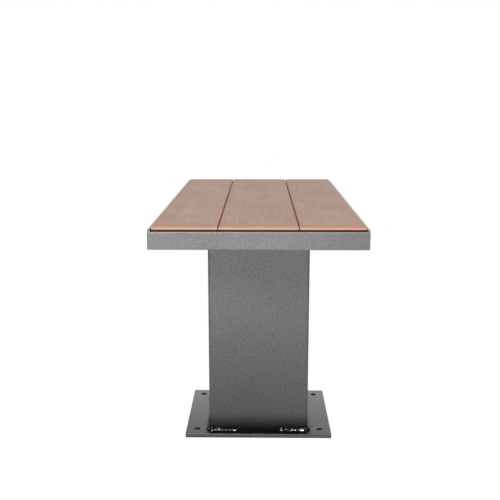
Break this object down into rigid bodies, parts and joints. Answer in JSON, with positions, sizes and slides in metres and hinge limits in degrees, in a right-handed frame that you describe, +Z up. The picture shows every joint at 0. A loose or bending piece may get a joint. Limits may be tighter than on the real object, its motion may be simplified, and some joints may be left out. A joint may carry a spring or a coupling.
{
  "type": "backless bench",
  "caption": "Short backless bench: composite boards in a steel angle frame on a square pedestal column with a bolt-down base plate.",
  "frame": {"origin": "middle of the base plate's underside, on the ground", "axes": "+Z up, +Y along the seat's length, +X across its width; the pictured end faces -Y"},
  "size_m": [0.355, 0.75, 0.473],
  "materials": {
    "coated_steel": "grey hammered powder coat, satin",
    "composite_board": "red-brown wood-plastic composite, finely brushed",
    "zinc_fastener": "zinc plated"
  },
  "bodies": {
    "root": {"base_plate": "coated_steel", "column": "coated_steel", "foot_welds": "coated_steel", "head_plate": "coated_steel", "head_welds": "coated_steel", "left_bearer": "coated_steel", "right_bearer": "coated_steel", "bearer_end_caps": "coated_steel", "bearer_welds": "coated_steel", "front_rail": "coated_steel", "rear_rail": "coated_steel", "left_rail": "coated_steel", "right_rail": "coated_steel", "rail_corner_welds": "coated_steel", "cross_bar_1": "coated_steel", "cross_bar_2": "coated_steel", "cross_bar_3": "coated_steel", "cross_bar_4": "coated_steel", "cross_bar_5": "coated_steel", "cross_bar_6": "coated_steel", "cross_bar_welds": "coated_steel", "left_board": "composite_board", "middle_board": "composite_board", "right_board": "composite_board", "seat_bolts": "zinc_fastener", "seat_bolt_washers": "zinc_fastener", "weld_nuts": "zinc_fastener", "left_board_screws": "zinc_fastener", "middle_board_screws": "zinc_fastener", "right_board_screws": "zinc_fastener"}
  },
  "joints": []
}
